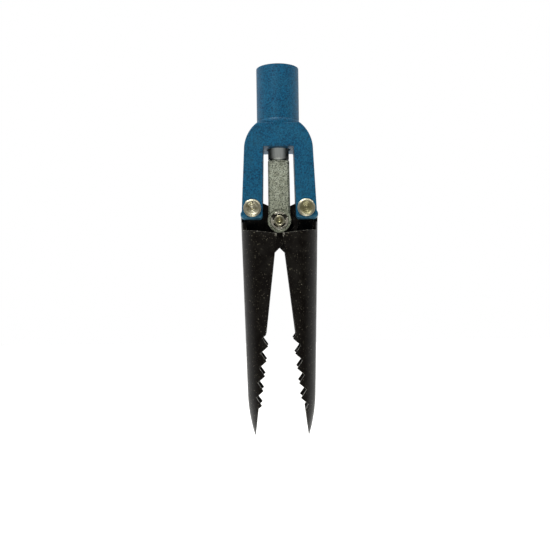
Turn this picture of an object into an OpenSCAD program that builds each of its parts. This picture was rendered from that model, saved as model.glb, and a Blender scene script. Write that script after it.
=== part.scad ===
// Head of a steel reacher grabber: a forked yoke on the end of a pole tube, with a draw rod that
// opens and closes two toothed half-round jaws through cam slots.
// Millimetres, +Z up along the pole. The origin is the centre of the tube's open mouth.
// X runs across the jaws and the front faces -Y.

/* [Pole tube] */
// Outer diameter of the pole tube
tube_d = 25.4; // [24.4:0.1:26.4]
// Wall thickness of the pole tube
tube_wall = 1.6; // [1.4:0.1:1.8]
// Height of the tube's mouth above the jaw pivots
mouth_h = 84.7; // [84.5:0.1:110]

/* [Yoke] */
// Distance between the two jaw pivots
pivot_span = 31.7; // [31.4:0.1:32]
// Thickness of the yoke from front to back
yoke_t = 25; // [23:0.5:25]
// Width of the yoke across its legs at the pivots
yoke_w = 44; // [43:0.5:45]
// Radius of the yoke's round top
yoke_top_r = 20.3; // [20:0.1:20.8]
// Height of the centre of the round top above the pivots
yoke_top_h = 34.3; // [34:0.1:35]
// Height of the window's top edge above the pivots
window_h = 36.2; // [35.5:0.1:36.8]

/* [Draw rod] */
// Diameter of the round draw rod
rod_d = 12.5; // [12:0.1:12.6]
// Side of the square clevis
clevis_w = 12.7; // [12.6:0.1:13]
// Height of the drive pin below the pivots, with the jaws as drawn
drive_drop = 6.8; // [6.7:0.1:7.1]
// Height of the clevis's top above the pivots
clevis_top = 29.5; // [29:0.1:29.8]

/* [Pins] */
// Diameter of the pivot pins and the drive pin
pin_d = 6.35; // [6:0.05:6.4]
// Outer diameter of the E-clips
clip_d = 10.4; // [10:0.1:10.8]

/* [Jaws] */
// Depth of the jaw channel from front to back
jaw_depth = 25; // [24.8:0.1:25.6]
// Thickness of the jaw's sheet steel
jaw_sheet = 2; // [1.6:0.1:2.2]
// Length of the jaws below the pivots, when closed
jaw_len = 133.8; // [131:0.1:135]
// Angle of the jaw's back to the pole when closed
jaw_lean = 8.15; // [8:0.05:8.3]
// Distance from one tooth to the next
tooth_pitch = 8.8; // [8:0.1:9]
// Height of a tooth above and below the jaw's edge
tooth_h = 1.95; // [1.5:0.05:2.1]
// Number of teeth on each jaw
teeth = 5; // [3:1:5]

/* [Motion] */
// Angle of each jaw from closed, as drawn
rest_angle = 6.7; // [6.7:0.1:7]
// Degrees that each jaw turns for each millimetre of rod travel
deg_per_mm = 2.3; // [2.25:0.05:2.35]
// How far the rod can go down from the position drawn
travel_down = 9.6; // [8:0.1:9.6]
// How far the rod can go up from the position drawn
travel_up = 2.8; // [2.5:0.1:2.8]

/* [Hidden] */
$fn = 96;

LEFT = -1;
RIGHT = 1;
pin_fit = 0.025;          // radial gap of a pin in a hole that doesn't turn
hinge_gap = 0.06;         // radial gap of a jaw on its pivot pin
slide_gap = 0.05;         // radial gap of the rod in its guides
cam_gap = 0.15;           // gap at each side of the drive pin in a cam slot
over = 1;                 // how far a cut runs past the face it opens

// Tube and what it is fixed to
tube_r = tube_d / 2;
tube_bore_r = tube_r - tube_wall;
shoulder_h = yoke_top_h + sqrt(pow(yoke_top_r, 2) - pow(tube_r, 2));
spigot_r = tube_bore_r - 0.05;
spigot_top = 54;
weld_zone = 3;            // height of the turned-down stretch that the weld covers
weld_step = 0.2;
weld_swell = 0.2;         // how far the weld stands out past the tube
weld_foot = 2;            // how far the weld runs down the yoke's flat faces

// Yoke
half_span = pivot_span / 2;
leg_bottom = -5.9;
foot_w = yoke_w + 1.5;
foot_top = -1.8;
foot_corner = 1.2;
window_top_w = 18.1;
window_foot_w = 19.9;
foot_inner_corner = 1;
leg_slot = 6.4;
leg_slot_top = 7.2;

// Rod, guides and travel stops
rod_r = rod_d / 2;
rod_top = 81.3;
rod_thread_r = 3.4;
rod_thread_len = 12;
rod_hole_r = 7.15;
bush_r = 8;
bush_bottom = 42;
seal_bottom = 51.5;
relief_r = 5.2;
relief_h = 1;
stud_r = 4;
stud_len = 10;
collar_r = 10.2;
collar_h = 7.6;
collar_bottom = spigot_top + travel_down + 0.1;
collar_pin_r = 1.5;
disc_bottom = collar_bottom + collar_h + travel_up + 0.3;
disc_h = 4;
ring_h = 1.2;
ring_groove = 0.6;

// Clevis and its pins
clevis_half = clevis_w / 2;
clevis_bevel = 0.9;
eye_r = 7;
spotface = 0.6;
recess_r = 5.5;
recess = 0.8;             // depth of the round recess in the eye, for the head and the clip
fork_slot_h = 22;
pin_reach = clevis_half - spotface - recess;
roll_pin_r = 1.25;
roll_pin_drop = 5;
pin_r = pin_d / 2;
head_r = 5.2;
head_t = 1.6;
head_bevel = 0.9;
clip_t = 0.9;
groove_r = 2.6;
pin_end = 1.2;

// Jaws, drawn closed with the two inner edges on the centre plane and the pivots at height 0
jaw_r = jaw_depth / 2;
edge_gap = 0.15;          // each inner edge's distance from the centre plane
channel_w = 27;           // depth of the channel section before its edge is trimmed
crown_top = [-22.65, -4.1]; // a point on the left jaw's back
bend_start = 109.5;
bend_r = 95;
bend_angle = 18;
flange_top = -12.9;
tongue_top = -8.1;
tongue_w = 10.6;
stem_top = -4.7;          // the middle of the back runs up into the leg's slot
stem_w = 5.8;
first_tooth = 73.1;       // depth below the pivots where the toothed stretch starts

// Lugs
lug_t = 3;
lug_gap = 0.1;            // each lug's distance from the middle plane
lug_boss_r = 6.3;
cam_end_r = 5.9;
spacer_r = 5.4;
edge_inset = 0.03;        // the plate's straight edges start this far inside its round ends
lug_corner = [-edge_gap, -24];
lug_foot = -32;
cam_steps = 16;
bead_w = 1.4;
bead_out = 1.5;

// ---------- functions ----------

// Angle of a jaw from closed when the rod is lifted by s
function jaw_angle(s) = rest_angle - deg_per_mm * s;

// Point p turned anticlockwise about point c, as seen from the front
function turned(p, c, a) =
    let (d = p - c) c + [d[0] * cos(a) - d[1] * sin(a), d[0] * sin(a) + d[1] * cos(a)];

// Where the drive pin is on the left lug, in the closed jaw's frame, when the rod is lifted by s
function cam_point(s) = turned([0, s - drive_drop], [-half_span, 0], jaw_angle(s));

// Where a line along the outside of two circles touches the first one.
// side is 1 for the line on the left, going from the first circle to the second, and -1 for the right
function touch(c1, r1, c2, r2, side) =
    let (d = c2 - c1, a = atan2(d[1], d[0]) + side * acos((r1 - r2) / norm(d)))
    c1 + r1 * [cos(a), sin(a)];

// Distance of the channel's inner back surface from the crown, at y from the middle plane
function web_depth(y) = jaw_r - sqrt(pow(jaw_r - jaw_sheet, 2) - y * y);

// Where a lug's outer edge meets the round back of the left jaw, at height z
function back_x(z) =
    crown_top[0] + (crown_top[1] - z) * tan(jaw_lean) + web_depth(lug_gap + lug_t) / cos(jaw_lean);

// ---------- helpers ----------

// Everything is drawn round the pivots and moved to the frame whose origin is the tube's mouth
module in_frame() {
    translate([0, 0, -mouth_h]) children();
}

// A flat outline in X and Z made t thick from front to back, about the middle plane
module slab(t) {
    rotate([90, 0, 0]) linear_extrude(height = t, center = true) children();
}

// A round bar from front to back
module cross_bar(r, y0, y1) {
    translate([0, y0, 0]) rotate([-90, 0, 0]) cylinder(r = r, h = y1 - y0);
}

// A tube with its bottom at z0 and its top at z1
module ring(outer, inner, z0, z1) {
    translate([0, 0, z0]) difference() {
        cylinder(r = outer, h = z1 - z0);
        translate([0, 0, -over]) cylinder(r = inner, h = z1 - z0 + 2 * over);
    }
}

// A headed pin with a clip groove. The head is at the back, and the pin holds 2 * reach between
// the head and the clip
module headed_pin(reach) {
    tip = reach + clip_t + pin_end;
    bevel = 0.5;
    rotate([90, 0, 0]) rotate_extrude() polygon([
        [0, -reach - head_t], [head_r - head_bevel, -reach - head_t],
        [head_r, -reach - head_t + head_bevel / 2],
        [head_r, -reach], [pin_r, -reach], [pin_r, reach], [groove_r, reach],
        [groove_r, reach + clip_t + 0.1], [pin_r, reach + clip_t + 0.1],
        [pin_r, tip - bevel], [pin_r - bevel, tip], [0.8, tip], [0, tip - 0.5]]);
}

// An E-clip lying against a face at the front, open towards the top, turned by a
module e_clip(face, a = 0) {
    rim = 1.1;
    prong = 1.9;
    gap_half = 68;
    reach = clip_d;
    rotate([0, a, 0]) translate([0, -face, 0]) rotate([90, 0, 0]) difference() {
        union() {
            difference() {
                cylinder(r = clip_d / 2, h = clip_t);
                translate([0, 0, -over]) cylinder(r = clip_d / 2 - rim, h = clip_t + 2 * over);
            }
            for (turn = [-172, -90, -8])
                rotate([0, 0, turn]) translate([groove_r + pin_fit, -prong / 2, 0])
                    cube([clip_d / 2 - groove_r - rim / 2, prong, clip_t]);
        }
        translate([0, 0, -over]) linear_extrude(height = clip_t + 2 * over)
            polygon([[0, 0], reach * [sin(gap_half), cos(gap_half)], reach * [-sin(gap_half), cos(gap_half)]]);
    }
}

// ---------- pole and yoke ----------

module tube() color("steelblue") in_frame() difference() {
    union() {
        ring(tube_r, tube_bore_r, shoulder_h + weld_zone, mouth_h);
        ring(tube_r - weld_step, tube_bore_r, shoulder_h, shoulder_h + weld_zone + 0.01);
    }
    ring(tube_bore_r + ring_groove, tube_bore_r - over, disc_bottom + disc_h, disc_bottom + disc_h + ring_h);
}

// The weld fairs the tube into the yoke's round top and its flat front and back
module tube_weld() color("steelblue") in_frame() difference() {
    rotate_extrude() polygon([
        [tube_r - weld_step, shoulder_h + weld_zone - 0.1], [tube_r, shoulder_h + weld_zone - 0.4],
        [tube_r + weld_swell, shoulder_h + 0.6], [tube_r, shoulder_h - 0.6],
        [yoke_t / 2, shoulder_h - weld_foot], [yoke_t / 2 - over, shoulder_h - weld_foot],
        [yoke_t / 2 - over, shoulder_h], [tube_r - weld_step, shoulder_h]]);
    yoke_blank();
}

// The yoke before it is drilled and slotted, with its shoulder turned down for the tube
module yoke_blank() {
    difference() {
        slab(yoke_t) {
            translate([0, yoke_top_h]) circle(r = yoke_top_r);
            yoke_side_outline();
        }
        translate([-yoke_w, -yoke_w, shoulder_h]) cube([2 * yoke_w, 2 * yoke_w, yoke_top_r]);
    }
    cylinder(r = spigot_r, h = spigot_top);
}

module yoke_side_outline() {
    right = [[yoke_top_r, yoke_top_h], [yoke_w / 2, 0], [yoke_w / 2, foot_top],
             [foot_w / 2, foot_top - 0.9], [foot_w / 2, leg_bottom + foot_corner],
             [foot_w / 2 - foot_corner, leg_bottom]];
    left = [for (i = [len(right) - 1:-1:0]) [-right[i][0], right[i][1]]];
    polygon(concat(right, left));
}

module yoke() color("steelblue") in_frame() difference() {
    yoke_blank();
    slab(yoke_t + 2 * over) polygon([
        [-window_top_w / 2, window_h], [window_top_w / 2, window_h],
        [window_foot_w / 2, leg_bottom + foot_inner_corner],
        [window_foot_w / 2 + foot_inner_corner + over, leg_bottom - over],
        [-window_foot_w / 2 - foot_inner_corner - over, leg_bottom - over],
        [-window_foot_w / 2, leg_bottom + foot_inner_corner]]);
    translate([0, 0, window_h - over]) cylinder(r = rod_hole_r, h = spigot_top - window_h + 2 * over);
    translate([0, 0, bush_bottom]) cylinder(r = bush_r, h = spigot_top - bush_bottom + over);
    translate([-foot_w, -leg_slot / 2, leg_bottom - over])
        cube([2 * foot_w, leg_slot, leg_slot_top - leg_bottom + over]);
    for (side = [LEFT, RIGHT]) translate([side * half_span, 0, 0])
        cross_bar(pin_r + pin_fit, -yoke_t, yoke_t);
}

module guide_bush() color("peru") in_frame()
    ring(bush_r, rod_r + slide_gap, bush_bottom, seal_bottom);

module rod_seal() color("dimgray") in_frame()
    ring(bush_r, rod_r + slide_gap, seal_bottom, spigot_top);

module rod_guide_disc() color("ivory") in_frame()
    ring(tube_bore_r, rod_r + slide_gap, disc_bottom, disc_bottom + disc_h);

// An inner retaining ring with two eyes for pliers
module disc_retaining_ring() color("gray") in_frame()
    translate([0, 0, disc_bottom + disc_h]) difference() {
        union() {
            ring(tube_bore_r + ring_groove, tube_bore_r - 1.4, 0, ring_h);
            for (side = [LEFT, RIGHT]) translate([side * 2.6, tube_bore_r - 2, 0]) cylinder(r = 1.7, h = ring_h);
        }
        translate([-1, 0, -over]) cube([2, tube_r, ring_h + 2 * over]);
        for (side = [LEFT, RIGHT]) translate([side * 2.8, tube_bore_r - 2.1, -over])
            cylinder(r = 0.7, h = ring_h + 2 * over);
    }

// ---------- pivots ----------

// The pivot pins go in from the front, so their heads show there and their clips are at the back
module pivot_pin(side) color("darkkhaki") in_frame() translate([side * half_span, 0, 0])
    rotate([0, 0, 180]) headed_pin(yoke_t / 2);

module pivot_clip(side, a) color("darkkhaki") in_frame() translate([side * half_span, 0, 0])
    rotate([0, 0, 180]) e_clip(yoke_t / 2, a);

// Each spacer fills the half of the leg slot that the lug leaves free
module pivot_spacer(side) color("darkkhaki") in_frame() translate([side * half_span, 0, 0])
    difference() {
        cross_bar(spacer_r, side < 0 ? lug_gap : -lug_gap - lug_t, side < 0 ? lug_gap + lug_t : -lug_gap);
        cross_bar(pin_r + pin_fit, -yoke_t, yoke_t);
    }

module left_pivot_pin() pivot_pin(LEFT);
module right_pivot_pin() pivot_pin(RIGHT);
module left_pivot_clip() pivot_clip(LEFT, 8);
module right_pivot_clip() pivot_clip(RIGHT, -62);
module left_pivot_spacer() pivot_spacer(LEFT);
module right_pivot_spacer() pivot_spacer(RIGHT);

// ---------- draw rod ----------

module draw_rod() color("silver") in_frame() difference() {
    rotate_extrude() polygon([
        [0, clevis_top - stud_len], [stud_r, clevis_top - stud_len], [stud_r, clevis_top],
        [relief_r, clevis_top], [relief_r, clevis_top + relief_h], [rod_r, clevis_top + relief_h],
        [rod_r, rod_top - 0.8], [rod_r - 0.8, rod_top], [0, rod_top]]);
    translate([0, 0, rod_top - rod_thread_len]) cylinder(r = rod_thread_r, h = rod_thread_len + over);
    roll_pin_hole();
    collar_pin_hole();
}

module roll_pin_hole() {
    translate([-tube_r, 0, clevis_top - roll_pin_drop]) rotate([0, 90, 0])
        cylinder(r = roll_pin_r + pin_fit, h = tube_d);
}

module collar_pin_hole() {
    translate([-tube_r, 0, collar_bottom + collar_h / 2]) rotate([0, 90, 0])
        cylinder(r = collar_pin_r + pin_fit, h = tube_d);
}

module rod_clevis() color("silver") in_frame() difference() {
    union() {
        translate([0, 0, -drive_drop]) linear_extrude(height = clevis_top + drive_drop)
            polygon([for (q = [0:3], e = [-1, 1])
                turned([clevis_half, e * (clevis_half - clevis_bevel)], [0, 0], 90 * q)]);
        translate([0, 0, -drive_drop]) cross_bar(eye_r, -clevis_half, clevis_half);
    }
    translate([-clevis_w, -leg_slot / 2, -clevis_w - drive_drop])
        cube([2 * clevis_w, leg_slot, clevis_w + fork_slot_h]);
    translate([0, 0, -drive_drop]) cross_bar(pin_r + pin_fit, -clevis_w, clevis_w);
    for (a = [0, 180]) rotate([0, 0, a]) translate([0, 0, -drive_drop])
        {
            cross_bar(eye_r + 0.1, clevis_half - spotface, clevis_w);
            cross_bar(recess_r, pin_reach, clevis_w);
        }
    translate([0, 0, clevis_top - stud_len - 0.3]) cylinder(r = stud_r + pin_fit, h = stud_len + over);
    roll_pin_hole();
    for (a = [0:90:270]) rotate([0, 0, a]) translate([clevis_half, 0, clevis_top])
        rotate([0, 45, 0]) cube([1.2, clevis_w + over, 1.2], center = true);
}

module clevis_roll_pin() color("gray") in_frame() translate([-clevis_half + 0.3, 0, clevis_top - roll_pin_drop])
    rotate([0, 90, 0]) cylinder(r = roll_pin_r, h = clevis_w - 0.6);

module drive_pin() color("darkkhaki") in_frame() translate([0, 0, -drive_drop])
    headed_pin(pin_reach);

module drive_pin_clip() color("darkkhaki") in_frame() translate([0, 0, -drive_drop])
    e_clip(pin_reach, 0);

// The collar stops the rod on the yoke at full opening and on the guide disc when closed
module stop_collar() color("gray") in_frame() difference() {
    ring(collar_r, rod_r + pin_fit, collar_bottom, collar_bottom + collar_h);
    collar_pin_hole();
}

module collar_pin() color("dimgray") in_frame()
    translate([-collar_r + 0.3, 0, collar_bottom + collar_h / 2]) rotate([0, 90, 0])
        cylinder(r = collar_pin_r, h = 2 * collar_r - 0.6);

// ---------- jaws, drawn as the left one, closed ----------

// Section of the bent sheet: x runs inwards from the crown of its round back
module channel_section() difference() {
    union() {
        translate([jaw_r, 0]) circle(r = jaw_r);
        translate([jaw_r, -jaw_r]) square([channel_w - jaw_r, jaw_depth]);
    }
    translate([jaw_r, 0]) circle(r = jaw_r - jaw_sheet);
    translate([jaw_r, jaw_sheet - jaw_r]) square([channel_w, jaw_depth - 2 * jaw_sheet]);
}

module channel_blank() {
    straight = (bend_start + crown_top[1]) / cos(jaw_lean);
    translate([crown_top[0], 0, crown_top[1]]) rotate([0, -jaw_lean, 0]) {
        translate([0, 0, -straight]) linear_extrude(height = straight) channel_section();
        translate([bend_r, 0, -straight]) rotate([0, 180, 0]) rotate([90, 0, 0])
            rotate_extrude(angle = bend_angle)
                translate([bend_r, 0]) mirror([1, 0]) channel_section();
    }
}

// What is kept of the blank: up to a straight edge with teeth cut across it.
// phase is 1 where the first notch is cut into the left jaw and -1 into the right one
module edge_outline(phase) {
    notched = [for (i = [0:teeth - 1], half = [0, 1])
        [-edge_gap + (2 * half - 1) * phase * tooth_h, -first_tooth - (i + 0.25 + half / 2) * tooth_pitch]];
    polygon(concat(
        [[-edge_gap - 2 * yoke_w, 0], [-edge_gap, 0], [-edge_gap, -first_tooth]], notched,
        [[-edge_gap, -first_tooth - teeth * tooth_pitch], [-edge_gap, -jaw_len],
         [-edge_gap - 2 * yoke_w, -jaw_len]]));
}

module jaw_shell(phase) difference() {
    intersection() {
        channel_blank();
        slab(2 * jaw_depth) edge_outline(phase);
    }
    translate([-2 * yoke_w, -jaw_depth, stem_top]) cube([4 * yoke_w, 2 * jaw_depth, jaw_depth]);
    for (side = [LEFT, RIGHT], step = [[tongue_w, flange_top], [stem_w, tongue_top]])
        translate([-2 * yoke_w, side * (step[0] + jaw_depth) / 2 - jaw_depth / 2, step[1]])
            cube([4 * yoke_w, jaw_depth, jaw_depth]);
}

// A flat plate with the pivot hole and the cam slot, between y0 and y0 + lug_t
module jaw_lug(y0) {
    pivot = [-half_span, 0];
    cam = [for (i = [0:cam_steps]) cam_point(travel_up + cam_gap
        - i * (travel_up + travel_down + 2 * cam_gap) / cam_steps)];
    cam_end = cam[cam_steps];
    heel = [back_x(stem_top), stem_top];
    half_slot = pin_r + cam_gap;
    boss_r = lug_boss_r - edge_inset;
    end_r = cam_end_r - edge_inset;
    normals = [for (i = [0:cam_steps])
        let (d = cam[min(i + 1, cam_steps)] - cam[max(i - 1, 0)]) half_slot * [-d[1], d[0]] / norm(d)];
    translate([0, y0 + lug_t / 2, 0]) difference() {
        union() {
            translate([pivot[0], 0, pivot[1]]) cross_bar(lug_boss_r, -lug_t / 2, lug_t / 2);
            translate([cam_end[0], 0, cam_end[1]]) cross_bar(cam_end_r, -lug_t / 2, lug_t / 2);
            slab(lug_t) polygon([
                touch(pivot, boss_r, cam_end, end_r, 1),
                touch(cam_end, end_r, pivot, boss_r, -1),
                touch(cam_end, end_r, lug_corner, 0, 1),
                lug_corner, [back_x(lug_foot), lug_foot], heel,
                touch(pivot, boss_r, heel, 0, -1)]);
        }
        translate([-half_span, 0, 0]) cross_bar(pin_r + hinge_gap, -lug_t, lug_t);
        slab(2 * lug_t) polygon(concat(
            [for (i = [0:cam_steps]) cam[i] + normals[i]],
            [for (i = [cam_steps:-1:0]) cam[i] - normals[i]]));
        for (p = [cam[0], cam_end]) translate([p[0], 0, p[1]]) cross_bar(half_slot, -lug_t, lug_t);
    }
}

// Weld beads in the corners between the lug and the jaw's back
module jaw_welds(y0) {
    top = -15;
    bottom = -29;
    for (face = [y0, y0 + lug_t]) {
        out = face == y0 ? -1 : 1;
        y1 = face + out * bead_w;
        translate([crown_top[0], 0, crown_top[1]]) rotate([0, -jaw_lean, 0])
            translate([0, 0, (bottom - crown_top[1]) / cos(jaw_lean)])
                linear_extrude(height = (top - bottom) / cos(jaw_lean))
                    polygon([[web_depth(face), face], [web_depth(y1), y1], [web_depth(face) + bead_out, face]]);
    }
}

// Turns a jaw drawn closed to the opening it is drawn at. The right one is mirrored first
module at_rest(side) {
    if (side == LEFT) open_left() children();
    else mirror([1, 0, 0]) open_left() children();
}

module open_left() {
    translate([-half_span, 0, 0]) rotate([0, rest_angle, 0]) translate([half_span, 0, 0]) children();
}

module left_jaw_shell() color([0.09, 0.08, 0.07]) in_frame() at_rest(LEFT) jaw_shell(1);
module right_jaw_shell() color([0.09, 0.08, 0.07]) in_frame() at_rest(RIGHT) jaw_shell(-1);
module left_jaw_lug() color([0.13, 0.12, 0.11]) in_frame() at_rest(LEFT) jaw_lug(-lug_gap - lug_t);
module right_jaw_lug() color([0.13, 0.12, 0.11]) in_frame() at_rest(RIGHT) jaw_lug(lug_gap);
module left_jaw_welds() color([0.13, 0.12, 0.11]) in_frame() at_rest(LEFT) jaw_welds(-lug_gap - lug_t);
module right_jaw_welds() color([0.13, 0.12, 0.11]) in_frame() at_rest(RIGHT) jaw_welds(lug_gap);

// ---------- the assembly ----------

tube();
tube_weld();
yoke();
guide_bush();
rod_seal();
rod_guide_disc();
disc_retaining_ring();
left_pivot_pin();
right_pivot_pin();
left_pivot_clip();
right_pivot_clip();
left_pivot_spacer();
right_pivot_spacer();
draw_rod();
rod_clevis();
clevis_roll_pin();
drive_pin();
drive_pin_clip();
stop_collar();
collar_pin();
left_jaw_shell();
right_jaw_shell();
left_jaw_lug();
right_jaw_lug();
left_jaw_welds();
right_jaw_welds();
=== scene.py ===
"""Looks of a steel reacher grabber head: enamelled pole and yoke, zinc draw rod, black toothed jaws.

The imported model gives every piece's place and size. Each sub-assembly below is a class that finishes its
pieces and dresses them. Lengths in the classes are in metres, like the frame's.
"""

import logging
import math
from contextlib import contextmanager
from dataclasses import dataclass
from enum import Enum
from typing import Any, Callable, Iterator

import bmesh
import bpy
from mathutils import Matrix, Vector

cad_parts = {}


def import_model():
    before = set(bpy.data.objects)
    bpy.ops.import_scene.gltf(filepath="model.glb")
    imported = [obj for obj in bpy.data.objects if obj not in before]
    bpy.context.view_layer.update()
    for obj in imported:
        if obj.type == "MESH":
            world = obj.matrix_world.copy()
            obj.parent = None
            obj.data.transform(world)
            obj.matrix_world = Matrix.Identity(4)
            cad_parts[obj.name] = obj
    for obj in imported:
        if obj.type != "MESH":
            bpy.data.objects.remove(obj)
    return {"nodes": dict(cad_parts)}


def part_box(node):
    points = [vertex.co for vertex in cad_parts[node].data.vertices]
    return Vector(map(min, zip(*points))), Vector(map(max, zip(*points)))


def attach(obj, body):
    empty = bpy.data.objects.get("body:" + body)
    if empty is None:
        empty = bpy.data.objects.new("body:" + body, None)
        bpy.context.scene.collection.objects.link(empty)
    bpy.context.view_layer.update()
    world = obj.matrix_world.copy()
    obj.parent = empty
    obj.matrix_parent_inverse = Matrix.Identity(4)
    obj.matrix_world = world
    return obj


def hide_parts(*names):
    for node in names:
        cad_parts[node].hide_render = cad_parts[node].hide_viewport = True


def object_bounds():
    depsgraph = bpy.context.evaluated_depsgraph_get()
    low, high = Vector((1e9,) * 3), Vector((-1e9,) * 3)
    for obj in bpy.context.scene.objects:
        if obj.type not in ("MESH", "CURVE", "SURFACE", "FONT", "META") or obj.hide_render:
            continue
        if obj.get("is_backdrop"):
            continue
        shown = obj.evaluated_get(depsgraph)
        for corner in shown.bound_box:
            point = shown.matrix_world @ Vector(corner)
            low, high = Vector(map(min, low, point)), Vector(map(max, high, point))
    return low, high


LOG = logging.getLogger("grabber_head")
MM = 0.001
MERGE = 0.002 * MM         # corners of a CAD mesh closer than this are one
FLAT = math.radians(0.5)   # CAD triangles that meet at less than this angle lie in one face
SHARP = math.radians(28)   # edges that turn by more than this are rounded
SMOOTH = math.radians(40)  # faces that meet at less than this are shaded as one
SMOOTH_WELD = math.radians(60)
FACE_GRIP = 0.02 * MM      # how far off a plane a face may lie and still be picked
WAVE_PHASE = 20            # the wave texture's phase for each unit of scaled distance


class Body(Enum):
    """The bodies that move as one piece."""

    HEAD = "head"
    ROD = "rod"
    LEFT_JAW = "left_jaw"
    RIGHT_JAW = "right_jaw"


class Side(Enum):
    """The two sides of the head, as seen from the front."""

    LEFT = "left"
    RIGHT = "right"


# ---------------------------------------------------------------- shader nodes


def linear(hex_code: str) -> tuple[float, float, float, float]:
    """Turns an sRGB hex colour to the linear values that shader sockets take.

    Args:
        hex_code: A colour such as "#26586F".

    Returns:
        Red, green and blue in linear light, and an alpha of 1.
    """
    channels = [int(hex_code[i : i + 2], 16) / 255 for i in (1, 3, 5)]
    lit = [c / 12.92 if c <= 0.04045 else ((c + 0.055) / 1.055) ** 2.4 for c in channels]
    return (lit[0], lit[1], lit[2], 1.0)


def add_node(tree: bpy.types.NodeTree, kind: str, inputs: dict | None = None,
             **settings: Any) -> bpy.types.Node:
    """Adds one shader node with its settings, values and links.

    Args:
        tree: The node tree that the node goes in.
        kind: The node's type name.
        inputs: Input name or index to a value, or to the output socket that feeds it.
        **settings: Properties of the node itself.

    Returns:
        The new node.
    """
    made = tree.nodes.new(kind)
    for name, value in settings.items():
        setattr(made, name, value)
    for key, value in (inputs or {}).items():
        if isinstance(value, bpy.types.NodeSocket):
            tree.links.new(value, made.inputs[key])
        else:
            made.inputs[key].default_value = value
    return made


def new_material(name: str) -> tuple[bpy.types.Material, bpy.types.NodeTree]:
    """Makes an empty node material.

    Args:
        name: The finish's name.

    Returns:
        The material and its node tree.
    """
    material = bpy.data.materials.new(name)
    material.use_nodes = True
    material.node_tree.nodes.clear()
    return material, material.node_tree


def grain_of(tree: bpy.types.NodeTree, size: float, detail: float = 3.0, stretch: tuple = (1, 1, 1)) -> Any:
    """Adds a noise pattern whose grains have a real size.

    Args:
        tree: The material's node tree.
        size: Width of one grain, in metres.
        detail: Number of finer layers in the noise.
        stretch: Factor on the pattern's frequency along each axis.

    Returns:
        The noise's factor socket.
    """
    place = add_node(tree, "ShaderNodeTexCoord")
    scaled = add_node(tree, "ShaderNodeMapping", {"Vector": place.outputs["Object"], "Scale": stretch})
    noise = add_node(tree, "ShaderNodeTexNoise",
                     {"Vector": scaled.outputs[0], "Scale": 1 / size, "Detail": detail, "Roughness": 0.6})
    return noise.outputs[0]


def between(tree: bpy.types.NodeTree, value: Any, low: float, high: float, to_low: float = 0.0,
            to_high: float = 1.0) -> Any:
    """Maps a stretch of values onto another one, clamped.

    Args:
        tree: The material's node tree.
        value: The socket to map.
        low: Input value that gives to_low.
        high: Input value that gives to_high.
        to_low: First output value.
        to_high: Last output value.

    Returns:
        The mapped value's socket.
    """
    mapped = add_node(tree, "ShaderNodeMapRange", {0: value, 1: low, 2: high, 3: to_low, 4: to_high})
    return mapped.outputs[0]


def blend_colours(tree: bpy.types.NodeTree, share: Any, first: Any, second: Any) -> Any:
    """Mixes two colours.

    Args:
        tree: The material's node tree.
        share: How much of the second colour, as a value or a socket.
        first: A colour or a socket.
        second: A colour or a socket.

    Returns:
        The mixed colour's socket.
    """
    mix = add_node(tree, "ShaderNodeMix", {0: share, 6: first, 7: second}, data_type="RGBA")
    return mix.outputs[2]


def product(tree: bpy.types.NodeTree, first: Any, second: Any) -> Any:
    """Multiplies two values and gives the result's socket."""
    return add_node(tree, "ShaderNodeMath", {0: first, 1: second}, operation="MULTIPLY").outputs[0]


def edge_wear(tree: bpy.types.NodeTree, radius: float, patchiness: float) -> Any:
    """Finds the piece's outer and inner edges, broken up so that the wear isn't even.

    Args:
        tree: The material's node tree.
        radius: How far the wear reaches from an edge, in metres.
        patchiness: Width of the worn patches, in metres.

    Returns:
        A socket that is 1 on worn edges and 0 elsewhere.
    """
    rounded = add_node(tree, "ShaderNodeBevel", {"Radius": radius}, samples=6)
    true_normal = add_node(tree, "ShaderNodeNewGeometry")
    turn = add_node(tree, "ShaderNodeVectorMath", {0: rounded.outputs[0], 1: true_normal.outputs["Normal"]},
                    operation="DOT_PRODUCT")
    edge = between(tree, turn.outputs["Value"], 0.995, 0.90)
    patches = between(tree, grain_of(tree, patchiness, 4), 0.42, 0.60)
    return product(tree, edge, patches)


def height_band(tree: bpy.types.NodeTree, low: float, high: float, soft: float) -> Any:
    """Marks a stretch of height on the piece.

    Args:
        tree: The material's node tree.
        low: Lowest height of the stretch, in metres.
        high: Highest height of the stretch, in metres.
        soft: Width over which the stretch fades out.

    Returns:
        A socket that is 1 inside the stretch and 0 outside it.
    """
    place = add_node(tree, "ShaderNodeTexCoord")
    parts = add_node(tree, "ShaderNodeSeparateXYZ", {0: place.outputs["Object"]})
    rising = between(tree, parts.outputs[2], low - soft, low)
    falling = between(tree, parts.outputs[2], high + soft, high)
    return product(tree, rising, falling)


def finish_surface(tree: bpy.types.NodeTree, relief: Any, depth: float, strength: float,
                   **surface: Any) -> None:
    """Adds the surface shader, with a relief, and the material's output.

    Args:
        tree: The material's node tree.
        relief: The socket whose value is the relief's height.
        depth: Height of the relief, in metres.
        strength: How strongly the relief shows.
        **surface: The shader's inputs, with underscores for spaces.
    """
    bump = add_node(tree, "ShaderNodeBump", {"Height": relief, "Distance": depth, "Strength": strength})
    inputs = {key.replace("_", " "): value for key, value in surface.items()}
    shader = add_node(tree, "ShaderNodeBsdfPrincipled", {**inputs, "Normal": bump.outputs[0]})
    add_node(tree, "ShaderNodeOutputMaterial", {0: shader.outputs[0]})


# ---------------------------------------------------------------- finishes


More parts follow.
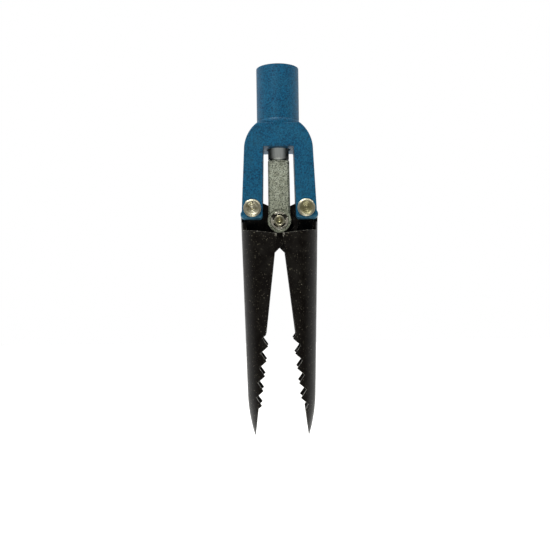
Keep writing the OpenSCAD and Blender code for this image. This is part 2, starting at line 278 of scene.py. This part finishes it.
@dataclass(frozen=True)
class BlueEnamel:
    """Sprayed stoving enamel on steel: satin, with fine orange peel, and a painted highlight in patches at
    the legs' lower ends.
    """

    legs_end: float
    shade: str = "#0F597C"
    deep: str = "#042A41"
    dusty: str = "#27637A"
    # Colour of the painted highlight at the legs' lower ends.
    pale_highlight: str = "#6FA3B0"

    def make(self) -> bpy.types.Material:
        """Builds the enamel's material.

        Returns:
            The material.
        """
        material, tree = new_material("blue_stoving_enamel")
        speckle = between(tree, grain_of(tree, 0.8 * MM, 5), 0.34, 0.62)
        clouds = between(tree, grain_of(tree, 9 * MM, 2), 0.35, 0.65)
        body = blend_colours(tree, speckle, linear(self.deep), linear(self.shade))
        body = blend_colours(tree, product(tree, clouds, 0.22), body, linear(self.dusty))
        # Painted highlight: a pale band, broken into patches, along the legs' lower ends, where their edges
        # catch the light.
        lit_leg_ends = height_band(tree, self.legs_end - 1 * MM, self.legs_end + 0.5 * MM, 1.6 * MM)
        patches = between(tree, grain_of(tree, 2.5 * MM, 4), 0.38, 0.62)
        # The mask below is the painted highlight, not wear.
        worn = product(tree, product(tree, lit_leg_ends, patches), 0.35)
        colour = blend_colours(tree, worn, body, linear(self.pale_highlight))
        # The spray's droplets are drawn at 0.9 mm, a little coarser than real ones, so that they show.
        peel = grain_of(tree, 0.9 * MM, 2)
        finish_surface(tree, peel, 0.08 * MM, 0.6, Base_Color=colour, Roughness=0.46, IOR=1.5,
                       Specular_IOR_Level=0.2)
        return material


@dataclass(frozen=True)
class BlackEnamel:
    """Dipped black enamel on sheet steel: brown-black, satin, rubbed to bare steel on working edges."""

    teeth: tuple[float, float]
    shoulders: tuple[float, float]
    rub: Vector
    shade: str = "#0A0705"
    dusty: str = "#120F09"
    speck: str = "#8A8572"
    bare: str = "#B5B2A4"

    def make(self) -> bpy.types.Material:
        """Builds the enamel's material, bare along the teeth and the shoulders.

        Returns:
            The material.
        """
        material, tree = new_material("black_dipped_enamel")
        clouds = between(tree, grain_of(tree, 5 * MM, 4), 0.40, 0.70)
        specks = between(tree, grain_of(tree, 0.8 * MM, 5), 0.63, 0.70)
        body = blend_colours(tree, product(tree, clouds, 0.8), linear(self.shade), linear(self.dusty))
        body = blend_colours(tree, product(tree, specks, 0.6), body, linear(self.speck))
        place = add_node(tree, "ShaderNodeTexCoord").outputs["Object"]
        away = add_node(tree, "ShaderNodeVectorMath", {0: place, 1: tuple(self.rub)},
                        operation="DISTANCE").outputs["Value"]
        scuffs = between(tree, grain_of(tree, 1.1 * MM, 4), 0.46, 0.56)
        body = blend_colours(tree, product(tree, between(tree, away, 3.2 * MM, 1.8 * MM), scuffs), body,
                             linear(self.bare))
        worn = edge_wear(tree, 0.45 * MM, 1.6 * MM)
        bands = add_node(tree, "ShaderNodeMath", {
            0: height_band(tree, *self.teeth, 3 * MM), 1: height_band(tree, *self.shoulders, 1 * MM)},
            operation="MAXIMUM").outputs[0]
        rubbed = product(tree, worn, bands)
        colour = blend_colours(tree, rubbed, body, linear(self.bare))
        roughness = between(tree, clouds, 0.0, 1.0, 0.34, 0.48)
        finish_surface(tree, grain_of(tree, 1.2 * MM, 3), 0.06 * MM, 0.6, Base_Color=colour,
                       Roughness=roughness, Metallic=product(tree, rubbed, 0.6), IOR=1.5,
                       Specular_IOR_Level=0.2)
        return material


@dataclass(frozen=True)
class CastZinc:
    """Sand-textured casting, dull zinc plated: grey, matt, mottled, with painted shade darkening the eye's
    recess.
    """

    low: float
    high: float
    eye: Vector
    recess: float = 5.45 * MM
    shade: str = "#C6CBB6"
    darker_tone: str = "#8D917C"
    pit: str = "#3C3F35"
    # Colour of the painted shade in the eye's recess.
    painted_dark: str = "#1B170F"

    def make(self) -> bpy.types.Material:
        """Builds the casting's material, darker towards its lower end.

        Returns:
            The material.
        """
        material, tree = new_material("zinc_plated_casting")
        sand = grain_of(tree, 0.8 * MM, 5)
        mottle = grain_of(tree, 3.2 * MM, 4)
        place = add_node(tree, "ShaderNodeTexCoord")
        height = add_node(tree, "ShaderNodeSeparateXYZ", {0: place.outputs["Object"]}).outputs[2]
        # The colour darkens towards the casting's lower end.
        lower_darkening = between(tree, height, self.high, self.low, 0.05, 0.95)
        body = blend_colours(tree, lower_darkening, linear(self.shade), linear(self.darker_tone))
        patches = product(tree, between(tree, mottle, 0.46, 0.62), 0.8)
        body = blend_colours(tree, patches, body, linear(self.darker_tone))
        pits = between(tree, sand, 0.55, 0.40)
        body = blend_colours(tree, product(tree, pits, 0.95), body, linear(self.pit))
        # Painted shade: the eye's recess is darkened in colour, standing in for the shade inside it.
        colour = blend_colours(tree, self.in_recess(tree, place.outputs["Object"]), body, linear(self.painted_dark))
        finish_surface(tree, sand, 0.22 * MM, 1.0, Base_Color=colour, Metallic=0.3, Roughness=0.5)
        return material

    def in_recess(self, tree: bpy.types.NodeTree, place: Any) -> Any:
        """Marks what lies within the recess's round wall, where shade is painted.

        Args:
            tree: The material's node tree.
            place: The socket with the place on the piece.

        Returns:
            A socket that is 1 in the recess and 0 outside it.
        """
        offset = add_node(tree, "ShaderNodeVectorMath", {0: place, 1: tuple(self.eye)},
                          operation="SUBTRACT").outputs[0]
        flat = add_node(tree, "ShaderNodeVectorMath", {0: offset, 1: (1, 0, 1)},
                        operation="MULTIPLY").outputs[0]
        away = add_node(tree, "ShaderNodeVectorMath", {0: flat}, operation="LENGTH").outputs["Value"]
        return between(tree, away, self.recess, self.recess - 0.15 * MM)


@dataclass(frozen=True)
class DrawnZinc:
    """Bright drawn bar, thinly zinc plated: fine streaks along it, and a painted dark reflection down its
    lower sides.
    """

    reflection_top: float
    shade: str = "#F4F5EE"
    streak: str = "#D4D7CE"
    # Colour of the painted dark reflection down the bar's sides.
    painted_dark: str = "#222622"

    def make(self) -> bpy.types.Material:
        """Builds the bar's material.

        Returns:
            The material.
        """
        material, tree = new_material("zinc_plated_drawn_bar")
        streaks = grain_of(tree, 0.35 * MM, 3, (1, 1, 0.03))
        drawn = between(tree, streaks, 0.35, 0.65)
        colour = blend_colours(tree, drawn, linear(self.streak), linear(self.shade))
        place = add_node(tree, "ShaderNodeTexCoord").outputs["Object"]
        parts = add_node(tree, "ShaderNodeSeparateXYZ", {0: place})
        aside = add_node(tree, "ShaderNodeMath", {0: parts.outputs[0]}, operation="ABSOLUTE").outputs[0]
        patches = between(tree, grain_of(tree, 2.0 * MM, 3), 0.30, 0.60, 0.8, 1.0)
        # Painted reflection: the sides are darkened below the guide bush, standing in for the dark legs
        # mirrored in the bar.
        dark_side_reflection = product(tree, between(tree, aside, 2.1 * MM, 4.6 * MM, 0.0, 0.97), patches)
        below = between(tree, parts.outputs[2], self.reflection_top, self.reflection_top - 4 * MM)
        colour = blend_colours(tree, product(tree, dark_side_reflection, below), colour, linear(self.painted_dark))
        finish_surface(tree, streaks, 0.03 * MM, 0.5, Base_Color=colour, Metallic=0.1, Roughness=0.42)
        return material


@dataclass(frozen=True)
class TurnedZinc:
    """Turned steel with yellowed zinc passivation: turning rings about the pin's axis, olive in its marks, a
    painted highlight round the rim.
    """

    centre: Vector
    rim: float
    punch: Vector | None = None
    bright: str = "#ABA68E"
    shade: str = "#B5AF8C"
    stain: str = "#7A7450"
    # Colour of the punch hollow's painted shade.
    hollow_shade: str = "#1A170F"
    tool_mark: float = 0.35 * MM

    def make(self) -> bpy.types.Material:
        """Builds the turned material, its rings centred on the pin.

        Returns:
            The material.
        """
        material, tree = new_material("yellow_zinc_turned")
        place = add_node(tree, "ShaderNodeTexCoord").outputs["Object"]
        centred = add_node(tree, "ShaderNodeVectorMath", {0: place, 1: tuple(self.centre)},
                           operation="SUBTRACT")
        # The tool marks are drawn coarser than the real feed, so that they show.
        frequency = 2 * math.pi / (WAVE_PHASE * self.tool_mark)
        rings = add_node(tree, "ShaderNodeTexWave", {
            "Vector": centred.outputs[0], "Scale": frequency, "Distortion": 0.3,
            "Detail": 1.0}, wave_type="RINGS", rings_direction="Y").outputs[1]
        stains = between(tree, grain_of(tree, 2.4 * MM, 3), 0.36, 0.66)
        colour = blend_colours(tree, stains, linear(self.shade), linear(self.stain))
        flat = add_node(tree, "ShaderNodeVectorMath", {0: centred.outputs[0], 1: (1, 0, 1)},
                        operation="MULTIPLY").outputs[0]
        away = add_node(tree, "ShaderNodeVectorMath", {0: flat}, operation="LENGTH").outputs["Value"]
        # Painted highlight: the rim is lighter in colour all round, standing in for the light it catches, and
        # for plating worn there.
        rubbed = between(tree, away, self.rim - 0.8 * MM, self.rim + 0.3 * MM)
        colour = blend_colours(tree, rubbed, colour, linear(self.bright))
        if self.punch is not None:
            # Painted shade: a small dark spot stands in for the punch's hollow, which has no geometry, with
            # grease in it.
            colour = blend_colours(tree, self.punch_hollow_shade(tree, place), colour, linear(self.hollow_shade))
        finish_surface(tree, rings, 0.03 * MM, 0.8, Base_Color=colour, Metallic=0.75, Roughness=0.34)
        return material

    def punch_hollow_shade(self, tree: bpy.types.NodeTree, place: Any) -> Any:
        """Marks a small dark spot where a centre punch left a hollow: painted shade and grease, as the hollow
        has no geometry.

        Args:
            tree: The material's node tree.
            place: The socket with the place on the piece.

        Returns:
            A socket that is 1 in the dark spot and 0 elsewhere.
        """
        away = add_node(tree, "ShaderNodeVectorMath", {0: place, 1: tuple(self.punch)},
                        operation="DISTANCE").outputs["Value"]
        return between(tree, away, 0.75 * MM, 0.35 * MM)


@dataclass(frozen=True)
class PlainMetal:
    """Bare or plated small steel and bronze parts: a soft mirror with a fine grain."""

    name: str
    shade: str
    stain: str
    roughness: float = 0.3
    grain: float = 0.6 * MM

    def make(self) -> bpy.types.Material:
        """Builds the metal's material.

        Returns:
            The material.
        """
        material, tree = new_material(self.name)
        marks = grain_of(tree, self.grain, 3)
        colour = blend_colours(tree, between(tree, marks, 0.38, 0.64), linear(self.shade), linear(self.stain))
        finish_surface(tree, marks, 0.015 * MM, 0.4, Base_Color=colour, Metallic=0.75,
                       Roughness=self.roughness)
        return material


@dataclass(frozen=True)
class Moulded:
    """Moulded rubber and nylon: even colour with a faint mould texture."""

    name: str
    shade: str
    shadow: str
    roughness: float

    def make(self) -> bpy.types.Material:
        """Builds the moulded material.

        Returns:
            The material.
        """
        material, tree = new_material(self.name)
        texture = grain_of(tree, 0.5 * MM, 2)
        hollows = between(tree, texture, 0.3, 0.7)
        colour = blend_colours(tree, hollows, linear(self.shade), linear(self.shadow))
        finish_surface(tree, texture, 0.02 * MM, 0.3, Base_Color=colour, Roughness=self.roughness, IOR=1.5)
        return material


@dataclass(frozen=True)
class LightTable:
    """White opal acrylic lit from below, as on a table for product pictures: even and matt."""

    shade: str = "#F4F4F2"
    glow: float = 0.6

    def make(self) -> bpy.types.Material:
        """Builds the table's material.

        Returns:
            The material.
        """
        material, tree = new_material("opal_acrylic_light_table")
        clouds = grain_of(tree, 40 * MM, 2)
        finish_surface(tree, clouds, 0.02 * MM, 0.1, Base_Color=linear(self.shade), Roughness=0.8,
                       Emission_Color=linear(self.shade), Emission_Strength=self.glow)
        return material


# ---------------------------------------------------------------- modelling by hand


def pick_only(piece: bpy.types.Object) -> None:
    """Selects one object, alone, and makes it the active one.

    Args:
        piece: The object.
    """
    for other in bpy.context.selected_objects:
        other.select_set(False)
    piece.select_set(True)
    bpy.context.view_layer.objects.active = piece


@contextmanager
def editing(piece: bpy.types.Object) -> Iterator[None]:
    """Opens a piece in edit mode with nothing selected, and closes it again.

    Args:
        piece: The piece to edit.

    Yields:
        Nothing, while the piece is open.
    """
    pick_only(piece)
    bpy.ops.object.mode_set(mode="EDIT")
    bpy.ops.mesh.select_mode(type="FACE")
    bpy.ops.mesh.select_all(action="DESELECT")
    yield
    bpy.ops.object.mode_set(mode="OBJECT")


def pick_faces(piece: bpy.types.Object, test: Callable[[Vector, Vector], bool]) -> int:
    """Selects the faces that pass a test on their centre and normal, in edit mode.

    Args:
        piece: The piece being edited.
        test: Takes a face's centre and normal and says whether it is wanted.

    Returns:
        How many faces were selected.
    """
    bpy.ops.mesh.select_all(action="DESELECT")
    mesh = bmesh.from_edit_mesh(piece.data)
    wanted = [f for f in mesh.faces if test(f.calc_center_median(), f.normal)]
    for face in wanted:
        face.select_set(True)
    bmesh.update_edit_mesh(piece.data)
    return len(wanted)


def apply_modifier(piece: bpy.types.Object, kind: str, **settings: Any) -> None:
    """Adds a modifier with its settings and applies it.

    Args:
        piece: The piece to change.
        kind: The modifier's type.
        **settings: The modifier's properties.
    """
    pick_only(piece)
    made = piece.modifiers.new(kind.lower(), kind)
    for name, value in settings.items():
        setattr(made, name, value)
    bpy.ops.object.modifier_apply(modifier=made.name)


def soften(piece: bpy.types.Object, radius: float, segments: int = 2) -> None:
    """Rounds a piece's sharp edges as handling and plating do, and smooths its curved faces.

    Args:
        piece: The piece to finish.
        radius: Radius of the rounded edge, in metres.
        segments: Number of faces across the rounded edge.
    """
    apply_modifier(piece, "BEVEL", width=radius, segments=segments, limit_method="ANGLE",
                   angle_limit=SHARP, use_clamp_overlap=False, miter_outer="MITER_ARC")
    pick_only(piece)
    bpy.ops.object.shade_smooth_by_angle(angle=SMOOTH)
    apply_modifier(piece, "WEIGHTED_NORMAL", keep_sharp=True, weight=80)


@dataclass
class Workshop:
    """Finishes pieces and sets them on their bodies."""

    nodes: dict[str, bpy.types.Object]
    count: int = 0

    def copy_of(self, node: str, name: str) -> bpy.types.Object:
        """Copies a CAD node to a piece of its own, its loose triangles joined into clean faces.

        Args:
            node: The CAD node.
            name: The piece's name.

        Returns:
            The copy, as one closed mesh.
        """
        piece = bpy.data.objects.new(name, self.nodes[node].data.copy())
        bpy.context.scene.collection.objects.link(piece)
        pick_only(piece)
        bpy.ops.mesh.customdata_custom_splitnormals_clear()
        with editing(piece):
            bpy.ops.mesh.select_all(action="SELECT")
            bpy.ops.mesh.remove_doubles(threshold=MERGE)
            bpy.ops.mesh.dissolve_limited(angle_limit=FLAT)
        return piece

    def fit(self, piece: bpy.types.Object, body: Body, slot: str, finish: bpy.types.Material,
            *replaced: str) -> bpy.types.Object:
        """Dresses a piece and sets it on its body.

        Args:
            piece: The finished piece.
            body: The body it moves with.
            slot: Not used.
            finish: Its material.
            *replaced: The CAD nodes that it stands for.

        Returns:
            The piece.
        """
        piece.data.materials.clear()
        piece.data.materials.append(finish)
        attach(piece, body.value)
        if replaced:
            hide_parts(*replaced)
        self.count += 1
        LOG.info("%s: %d faces, rides on %s", piece.name, len(piece.data.polygons), body.value)
        return piece

    def refine(self, node: str, body: Body, slot: str, finish: bpy.types.Material, radius: float,
               segments: int = 2) -> bpy.types.Object:
        """Copies a CAD node, rounds its edges and fits it in the node's place.

        Args:
            node: The CAD node.
            body: The body it moves with.
            slot: Not used; it is handed on to fit.
            finish: Its material.
            radius: Radius of its rounded edges, in metres.
            segments: Number of faces across a rounded edge.

        Returns:
            The piece.
        """
        piece = self.copy_of(node, f"{node}_finished")
        soften(piece, radius, segments)
        return self.fit(piece, body, slot, finish, node)

    def dress(self, node: str, finish: bpy.types.Material) -> None:
        """Gives a CAD node its material and keeps its plain shape.

        Args:
            node: The CAD node.
            finish: Its material.
        """
        self.nodes[node].data.materials.clear()
        self.nodes[node].data.materials.append(finish)
        self.count += 1
        LOG.info("%s: dressed in %s", node, finish.name)


# ---------------------------------------------------------------- sub-assemblies


@dataclass
class PoleAndYoke:
    """The pole's end, the weld and the forked yoke."""

    shop: Workshop
    yoke_edge: float = 0.55 * MM
    tube_edge: float = 0.12 * MM
    weld_rim: float = 0.5 * MM
    weld_lap: float = 0.25 * MM
    weld_spread: float = 1.003

    def build(self) -> None:
        """Finishes the painted steel of the head."""
        enamel = BlueEnamel(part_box("yoke")[0].z).make()
        self.shop.refine("yoke", Body.HEAD, "blue_paint", enamel, self.yoke_edge, 3)
        self.shop.refine("tube", Body.HEAD, "blue_paint", enamel, self.tube_edge, 2)
        self.weld(enamel)

    def weld(self, enamel: bpy.types.Material) -> None:
        """Finishes the weld: ground and filled, so it runs smoothly into the tube and the yoke.

        Args:
            enamel: The head's paint.
        """
        piece = self.shop.copy_of("tube_weld", "tube_weld_bead")
        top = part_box("tube_weld")[1].z
        with editing(piece):
            bpy.ops.mesh.select_mode(type="VERT")
            mesh = bmesh.from_edit_mesh(piece.data)
            for vertex in mesh.verts:
                vertex.select_set(vertex.co.z > top - self.weld_rim)
            bmesh.update_edit_mesh(piece.data)
            bpy.ops.transform.translate(value=(0, 0, self.weld_lap))
            bpy.ops.transform.resize(value=(self.weld_spread, self.weld_spread, 1),
                                     center_override=(0, 0, top))
        pick_only(piece)
        bpy.ops.object.shade_smooth_by_angle(angle=SMOOTH_WELD)
        self.shop.fit(piece, Body.HEAD, "blue_paint", enamel, "tube_weld")


@dataclass
class RodGuides:
    """What guides the draw rod inside the pole and the yoke."""

    shop: Workshop

    def build(self) -> None:
        """Finishes the bush, the seal, the guide disc and its ring."""
        bronze = PlainMetal("sintered_bronze", "#B08A55", "#7C5C33", 0.45).make()
        rubber = Moulded("moulded_nitrile_rubber", "#1A1A1A", "#101010", 0.7).make()
        nylon = Moulded("moulded_nylon", "#DAD7CA", "#C8C4B4", 0.5).make()
        spring = PlainMetal("phosphated_spring_steel", "#5B5B58", "#3B3B39", 0.4).make()
        self.shop.refine("guide_bush", Body.HEAD, "bronze", bronze, 0.2 * MM)
        self.shop.refine("rod_seal", Body.HEAD, "seal_rubber", rubber, 0.4 * MM, 3)
        self.shop.refine("rod_guide_disc", Body.HEAD, "guide_nylon", nylon, 0.3 * MM)
        self.shop.refine("disc_retaining_ring", Body.HEAD, "spring_steel", spring, 0.1 * MM)


@dataclass
class CrossPin:
    """A headed pin held by an E-clip, with the dish and the rings that the lathe left on its ends."""

    shop: Workshop
    node: str
    body: Body
    dish: float = 0.15 * MM
    off_centre: float = 0.0
    punched: bool = False
    # Radius from which the pin's rim gets its painted highlight.
    bright_from: float = 4.2 * MM
    shade: str = "#B5AF8C"
    rim: float = 0.2 * MM
    ring_gap: float = 0.7 * MM
    ring_width: float = 0.12 * MM
    ring_depth: float = 0.06 * MM
    punch_offset: tuple[float, float] = (0.2 * MM, 3.4 * MM)
    edge: float = 0.05 * MM

    def build(self) -> None:
        """Models the pin's turned ends on the plain pin and fits it."""
        low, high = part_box(self.node)
        centre = (low + high) / 2
        aside, above = self.punch_offset
        punch = Vector((centre.x + aside, low.y, centre.z + above)) if self.punched else None
        finish = TurnedZinc(centre, self.bright_from, punch, shade=self.shade).make()
        piece = self.shop.copy_of(self.node, f"{self.node}_turned")
        with editing(piece):
            self.turn_face(piece, low.y, -1)
            self.turn_face(piece, high.y, 1)
        soften(piece, self.edge)
        self.shop.fit(piece, self.body, "zinc_pin", finish, self.node)

    def turn_face(self, piece: bpy.types.Object, face_y: float, way: int) -> None:
        """Cuts a shallow dish and rings into the flat face at one end, in edit mode.

        Args:
            piece: The pin.
            face_y: Where the end face is.
            way: 1 for a face that looks along +Y and -1 for the other.
        """
        pick_faces(piece, lambda c, n: abs(c.y - face_y) < FACE_GRIP and n.y * way > 0.99)
        mesh = bmesh.from_edit_mesh(piece.data)
        area = sum(face.calc_area() for face in mesh.faces if face.select)
        radius = math.sqrt(area / math.pi)
        bpy.ops.mesh.inset(thickness=self.rim, depth=0)
        bpy.ops.mesh.inset(thickness=self.dish, depth=-self.dish)
        bpy.ops.transform.translate(value=(self.off_centre * radius, 0, 0))
        pitch = self.ring_gap + 2 * self.ring_width
        for _ in range(int((radius - self.rim - self.dish) / pitch)):
            bpy.ops.mesh.inset(thickness=self.ring_gap, depth=0)
            bpy.ops.mesh.inset(thickness=self.ring_width, depth=-self.ring_depth)
            bpy.ops.mesh.inset(thickness=self.ring_width, depth=self.ring_depth)


@dataclass
class Pivots:
    """The two jaw pivots in the yoke's legs."""

    shop: Workshop

    def build(self, clip_steel: bpy.types.Material) -> None:
        """Finishes the pins, the clips and the spacers on both sides.

        Args:
            clip_steel: The clips' material.
        """
        washer = PlainMetal("zinc_plated_washer", "#8E8D86", "#6C6B64", 0.4).make()
        CrossPin(self.shop, "left_pivot_pin", Body.HEAD, dish=0.12 * MM, punched=True,
                 shade="#D2CDB4").build()
        CrossPin(self.shop, "right_pivot_pin", Body.HEAD, dish=0.35 * MM, off_centre=0.05,
                 shade="#A39D78").build()
        for side in Side:
            self.shop.refine(f"{side.value}_pivot_clip", Body.HEAD, "spring_steel", clip_steel, 0.14 * MM, 3)
            self.shop.refine(f"{side.value}_pivot_spacer", Body.HEAD, "turned_steel", washer, 0.15 * MM)


@dataclass
class RodSet:
    """The draw rod with its clevis, its pins and its stop collar."""

    shop: Workshop
    clevis_edge: float = 0.22 * MM
    rolled_strip: float = 0.45 * MM
    rolled_slit: float = 0.3 * MM
    round_steps: int = 48

    def build(self, clip_steel: bpy.types.Material) -> None:
        """Finishes every piece that slides with the rod.

        Args:
            clip_steel: The clip's material.
        """
        low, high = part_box("rod_clevis")
        pin_low, pin_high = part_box("drive_pin")
        casting = CastZinc(low.z, high.z, (pin_low + pin_high) / 2).make()
        drawn = DrawnZinc(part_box("guide_bush")[1].z).make()
        collar = PlainMetal("turned_free_cutting_steel", "#8A8A88", "#6E6E6C", 0.35).make()
        dark_pin = PlainMetal("oiled_spring_pin", "#6B6A66", "#474642", 0.4).make()
        self.shop.refine("rod_clevis", Body.ROD, "zinc_casting", casting, self.clevis_edge, 3)
        self.shop.refine("draw_rod", Body.ROD, "zinc_rod", drawn, 0.15 * MM)
        self.shop.refine("drive_pin_clip", Body.ROD, "spring_steel", clip_steel, 0.14 * MM, 3)
        self.shop.refine("stop_collar", Body.ROD, "turned_steel", collar, 0.3 * MM)
        self.shop.dress("collar_pin", dark_pin)
        CrossPin(self.shop, "drive_pin", Body.ROD, bright_from=2.4 * MM, shade="#A39D78").build()
        self.slotted_pin("clevis_roll_pin", dark_pin)

    def slotted_pin(self, node: str, finish: bpy.types.Material) -> None:
        """Models a rolled spring pin: a bent strip that doesn't quite close, with rounded ends.

        Args:
            node: The CAD node that it stands for.
            finish: Its material.
        """
        low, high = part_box(node)
        radius = (high.z - low.z) / 2
        bpy.ops.mesh.primitive_cylinder_add(
            vertices=self.round_steps, radius=radius, depth=high.x - low.x, end_fill_type="NOTHING",
            location=(low + high) / 2, rotation=(0, math.pi / 2, 0))
        piece = bpy.context.active_object
        piece.name = f"{node}_rolled"
        bpy.ops.object.transform_apply(location=True, rotation=True, scale=True)
        middle = (low + high) / 2
        with editing(piece):
            pick_faces(piece, lambda c, n: c.y > middle.y and abs(c.z - middle.z) < self.rolled_slit)
            bpy.ops.mesh.delete(type="FACE")
        apply_modifier(piece, "SOLIDIFY", thickness=self.rolled_strip, offset=-1)
        soften(piece, 0.1 * MM)
        self.shop.fit(piece, Body.ROD, "spring_steel", finish, node)


@dataclass
class Jaws:
    """The two toothed jaws with their lugs and welds."""

    shop: Workshop
    sheet_edge: float = 0.22 * MM
    teeth_above_tip: tuple[float, float] = (12 * MM, 64 * MM)
    shoulder_drop: tuple[float, float] = (11.4 * MM, 15 * MM)
    rub_drop: float = 15 * MM
    bead_grain: float = 0.2 * MM

    def build(self) -> None:
        """Finishes both jaws."""
        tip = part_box("left_jaw_shell")[0].z
        pin_low, pin_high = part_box("left_pivot_pin")
        pivot = (pin_low.z + pin_high.z) / 2
        enamel = BlackEnamel(
            teeth=(tip + self.teeth_above_tip[0], tip + self.teeth_above_tip[1]),
            shoulders=(pivot - self.shoulder_drop[1], pivot - self.shoulder_drop[0]),
            rub=Vector((0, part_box("left_jaw_shell")[0].y, pivot - self.rub_drop))).make()
        for side, body in ((Side.LEFT, Body.LEFT_JAW), (Side.RIGHT, Body.RIGHT_JAW)):
            self.shop.refine(f"{side.value}_jaw_shell", body, "black_paint", enamel, self.sheet_edge, 3)
            self.shop.refine(f"{side.value}_jaw_lug", body, "black_paint", enamel, 0.2 * MM)
            self.bead(f"{side.value}_jaw_welds", body, enamel)

    def bead(self, node: str, body: Body, enamel: bpy.types.Material) -> None:
        """Softens the plain weld beads inside a jaw.

        Args:
            node: The CAD node with the beads.
            body: The jaw that they are on.
            enamel: The jaw's paint.
        """
        piece = self.shop.copy_of(node, f"{node}_laid")
        apply_modifier(piece, "REMESH", mode="VOXEL", voxel_size=self.bead_grain)
        with editing(piece):
            bpy.ops.mesh.select_all(action="SELECT")
            bpy.ops.mesh.vertices_smooth(factor=0.5, repeat=2)
        pick_only(piece)
        bpy.ops.object.shade_smooth()
        self.shop.fit(piece, body, "black_paint", enamel, node)


# ---------------------------------------------------------------- floor, light and camera


@dataclass(frozen=True)
class Softbox:
    """A square soft light: where it stands, its side and its power in watts."""

    name: str
    place: tuple[float, float, float]
    size: float
    power: float

    def add(self, target: Vector) -> None:
        """Adds the light, facing a point.

        Args:
            target: The point that it faces.
        """
        lamp = bpy.data.lights.new(self.name, "AREA")
        lamp.size = self.size
        lamp.energy = self.power
        stand = bpy.data.objects.new(self.name, lamp)
        stand.location = self.place
        stand.rotation_euler = (target - Vector(self.place)).to_track_quat("-Z", "Y").to_euler()
        bpy.context.scene.collection.objects.link(stand)


@dataclass
class Studio:
    """A pale floor, soft light and the camera."""

    eye: tuple[float, float, float] = (-2.2 * MM, -450 * MM, -138.7 * MM)
    aim: tuple[float, float, float] = (0, 0, -110 * MM)
    lights: tuple[Softbox, ...] = (
        Softbox("key_light", (-0.3, -0.6, 0.8), 0.5, 12.5),
        Softbox("fill_light", (0.5, -0.45, 0.75), 0.5, 3.5),
        Softbox("low_light", (0.02, -0.9, -0.75), 0.25, 4.5))
    frame_width: float = 331.5 * MM
    roll: float = 0.8
    across: float = -0.0033
    rise: float = 25 / 550
    floor_drop: float = 80 * MM
    floor_size: float = 2.4
    floor_front: float = 30 * MM

    def build(self, lowest: float) -> None:
        """Sets up the floor, the lights and the camera.

        Args:
            lowest: Height of the object's lowest point.
        """
        self.floor(lowest - self.floor_drop)
        self.sky()
        for light in self.lights:
            light.add(Vector(self.aim))
        self.camera()

    def floor(self, height: float) -> None:
        """Lays the floor, which begins just in front of the object and runs back.

        Args:
            height: The floor's height.
        """
        bpy.ops.mesh.primitive_plane_add(size=self.floor_size,
                                         location=(0, self.floor_size / 2 - self.floor_front, height))
        piece = bpy.context.active_object
        piece.name = "studio_floor"
        piece.data.materials.append(LightTable().make())
        piece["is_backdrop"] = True

    def sky(self) -> None:
        """Surrounds the object with white, dimmer from the front, where the studio is dark."""
        world = bpy.data.worlds.new("studio_white")
        bpy.context.scene.world = world
        world.use_nodes = True
        tree = world.node_tree
        tree.nodes.clear()
        place = add_node(tree, "ShaderNodeTexCoord")
        depth = add_node(tree, "ShaderNodeSeparateXYZ", {0: place.outputs["Generated"]}).outputs[1]
        behind = between(tree, depth, -0.6, 0.05, 0.02, 0.95)
        sight = add_node(tree, "ShaderNodeLightPath").outputs["Is Camera Ray"]
        strength = add_node(tree, "ShaderNodeMath", {0: behind, 1: sight}, operation="MAXIMUM").outputs[0]
        light = add_node(tree, "ShaderNodeBackground", {"Color": (1, 1, 1, 1), "Strength": strength})
        add_node(tree, "ShaderNodeOutputWorld", {0: light.outputs[0]})

    def camera(self) -> None:
        """Sets the camera level with the jaws, looking straight at the front."""
        lens = bpy.data.cameras.new("front_camera")
        lens.sensor_width = 36
        lens.lens = lens.sensor_width * -self.eye[1] / self.frame_width
        lens.shift_y = self.rise
        lens.shift_x = self.across
        lens.clip_start = 0.01
        stand = bpy.data.objects.new("front_camera", lens)
        stand.location = self.eye
        stand.rotation_euler = (math.pi / 2, math.radians(self.roll), 0)
        bpy.context.scene.collection.objects.link(stand)
        bpy.context.scene.camera = stand
        bpy.context.scene.view_settings.view_transform = "Standard"


def corners() -> list[list[float]]:
    """Gives the shown object's lowest and highest corner as plain lists."""
    return [list(corner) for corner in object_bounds()]


def main() -> None:
    """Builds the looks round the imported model."""
    logging.basicConfig(level=logging.INFO, format="%(name)s: %(message)s")
    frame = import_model()
    cad_box = corners()
    shop = Workshop(frame["nodes"])
    Studio().build(cad_box[0][2])
    clip_steel = PlainMetal("bright_spring_clip_steel", "#F0ECDD", "#B8B398", 0.3).make()
    PoleAndYoke(shop).build()
    RodGuides(shop).build()
    Pivots(shop).build(clip_steel)
    RodSet(shop).build(clip_steel)
    Jaws(shop).build()
    LOG.info("%d pieces finished", shop.count)


if __name__ == "__main__":
    main()
